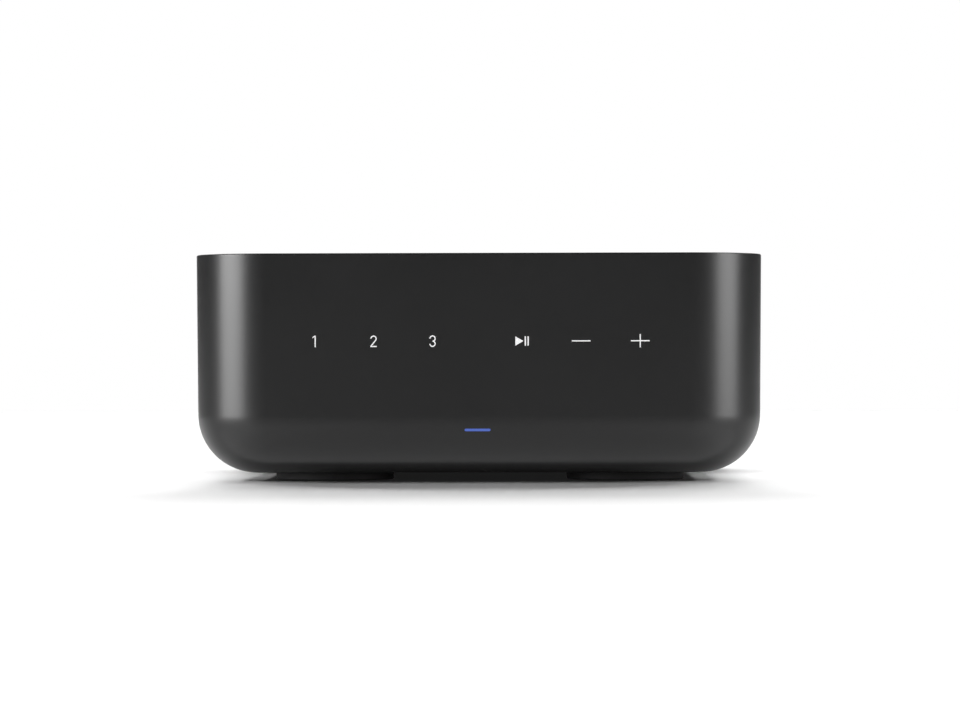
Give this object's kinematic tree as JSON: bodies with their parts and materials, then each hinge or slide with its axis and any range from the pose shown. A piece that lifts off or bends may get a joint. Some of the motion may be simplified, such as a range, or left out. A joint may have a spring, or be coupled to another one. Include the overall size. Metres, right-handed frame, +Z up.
{
  "type": "network music streamer",
  "caption": "Compact black network music streamer: rounded tub with a flat lid, rubber feet, touch symbols and a blue status light on the front, and a recessed connector bay behind.",
  "frame": {"origin": "on the ground plane of the feet, under the middle of the housing", "axes": "+Z up; the front with its symbols faces -Y, the connectors face +Y, and +X is to the right as seen from the front"},
  "size_m": [0.18, 0.18, 0.072],
  "materials": {
    "housing_black": "fine satin moulded texture",
    "cover_black": "fine satin moulded texture",
    "panel_black": "fine satin",
    "foot_rubber": "matte",
    "zinc_steel": "zinc plated",
    "black_steel": "black satin",
    "symbol_white": "matte",
    "status_blue": "translucent, lit from behind",
    "clear_guide": "translucent",
    "lamp_cream": "clear",
    "board_green": "solder resist",
    "board_brown": "bare laminate",
    "chip_black": "moulded",
    "sink_silver": "plain",
    "tin_plate": "tinned sheet",
    "nickel_plate": "nickel plated",
    "gold_plate": "gold flashed",
    "can_blue": "sleeved",
    "can_black": "sleeved",
    "socket_black": "moulded",
    "shutter_black": "moulded",
    "socket_white": "moulded",
    "socket_cream": "moulded",
    "socket_red": "moulded",
    "lens_red": "clear red",
    "lamp_amber": "clear",
    "ribbon_white": "film",
    "wire_red": "insulated",
    "coax_black": "insulated",
    "ferrite_grey": "sintered",
    "coil_yellow": "taped",
    "choke_green": "coated",
    "button_grey": "moulded"
  },
  "bodies": {
    "housing": {"housing": "housing_black", "top_cover": "cover_black", "rear_panel": "panel_black", "foot_front_left": "foot_rubber", "foot_front_right": "foot_rubber", "foot_rear_left": "foot_rubber", "foot_rear_right": "foot_rubber", "cover_screws": "zinc_steel", "rear_panel_screws": "black_steel", "key_symbols": "symbol_white", "status_light_guide": "status_blue", "touch_board": "board_green", "touch_light_guides": "clear_guide", "touch_lights": "lamp_cream", "status_light": "lamp_cream", "touch_board_screws": "zinc_steel", "ribbon_cable": "ribbon_white", "ribbon_sockets": "socket_cream", "main_board": "board_green", "board_screws": "zinc_steel", "processor": "chip_black", "heat_sink": "sink_silver", "board_chips": "chip_black", "radio_module": "tin_plate", "network_transformer": "chip_black", "signal_capacitors": "can_blue", "antenna_left": "gold_plate", "antenna_right": "gold_plate", "antenna_cable_left": "coax_black", "antenna_cable_right": "coax_black", "ethernet_shield": "tin_plate", "ethernet_insert": "socket_black", "ethernet_contacts": "gold_plate", "ethernet_lights": "lamp_amber", "usb_shell": "tin_plate", "usb_tongue": "socket_white", "usb_contacts": "gold_plate", "optical_socket": "socket_black", "optical_emitter": "lens_red", "line_out_block": "socket_black", "line_in_block": "socket_black", "line_shells": "nickel_plate", "line_left_inserts": "socket_white", "line_right_inserts": "socket_red", "line_contacts": "gold_plate", "setup_switch": "chip_black", "power_board": "board_brown", "mains_inlet": "socket_black", "mains_pins": "nickel_plate", "transformer_core": "ferrite_grey", "transformer_coil": "coil_yellow", "bulk_capacitor": "can_black", "mains_choke": "choke_green", "mains_fuse": "chip_black", "output_capacitors": "can_black", "power_headers": "socket_white", "power_lead": "wire_red"},
    "setup_button": {"setup_button": "button_grey", "setup_plunger": "socket_white"},
    "optical_shutter": {"optical_shutter": "shutter_black"}
  },
  "joints": [
    {"name": "setup_press", "type": "slide", "parent": "housing", "child": "setup_button", "axis": [0, -1, 0], "range_m": [0, 0.0006], "stiffness_N_per_m": 2000},
    {"name": "shutter_hinge", "type": "hinge", "parent": "housing", "child": "optical_shutter", "pos_m": [-0.0218, 0.0786, 0.038], "axis": [-1, 0, 0], "range_deg": [0, 88], "stiffness_Nm_per_rad": 0.001}
  ]
}
